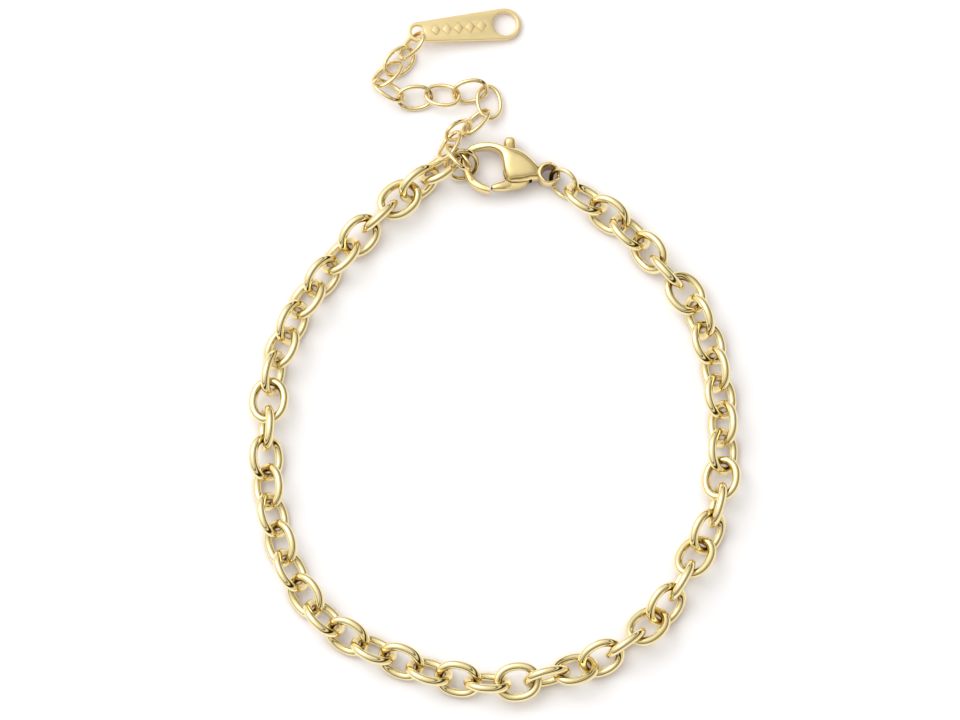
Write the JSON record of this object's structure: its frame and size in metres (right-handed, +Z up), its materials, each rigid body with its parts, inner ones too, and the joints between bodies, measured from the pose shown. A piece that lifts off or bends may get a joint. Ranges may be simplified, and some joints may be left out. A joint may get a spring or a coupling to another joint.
{
  "type": "link bracelet",
  "caption": "Cable-link chain bracelet lying closed by a lobster clasp, with a loose extender chain that ends in a flat tapered tag.",
  "frame": {"origin": "middle of the overall box on the table the bracelet lies on", "axes": "+Z up out of the table and through the loop as a wrist goes, +Y from the loop towards the clasp and tag, +X from the end ring towards the clasp's eye"},
  "size_m": [0.0551, 0.081, 0.0048],
  "materials": {
    "chain_metal": "mirror polished pale gold plating",
    "clasp_metal": "mirror polished pale gold plating",
    "extender_metal": "polished gold plating",
    "tag_metal": "satin gold plating"
  },
  "bodies": {
    "bracelet": {"chain_right": "chain_metal", "chain_left": "chain_metal", "clasp_body": "clasp_metal", "clasp_pin": "clasp_metal", "clasp_jump_ring": "clasp_metal", "end_jump_ring": "clasp_metal", "extender_link_01": "extender_metal", "extender_link_02": "extender_metal", "extender_link_03": "extender_metal", "extender_link_04": "extender_metal", "extender_link_05": "extender_metal", "extender_link_06": "extender_metal", "extender_link_07": "extender_metal", "extender_link_08": "extender_metal", "extender_link_09": "extender_metal", "extender_link_10": "extender_metal", "extender_link_11": "extender_metal", "extender_link_12": "extender_metal", "tag": "tag_metal"},
    "lever": {"clasp_lever": "clasp_metal"}
  },
  "joints": [
    {"name": "lever_hinge", "type": "hinge", "parent": "bracelet", "child": "lever", "pos_m": [0.0032, 0.0203, 0.00145], "axis": [0, 0, -1], "range_deg": [0, 22], "stiffness_Nm_per_rad": 0.00001}
  ]
}
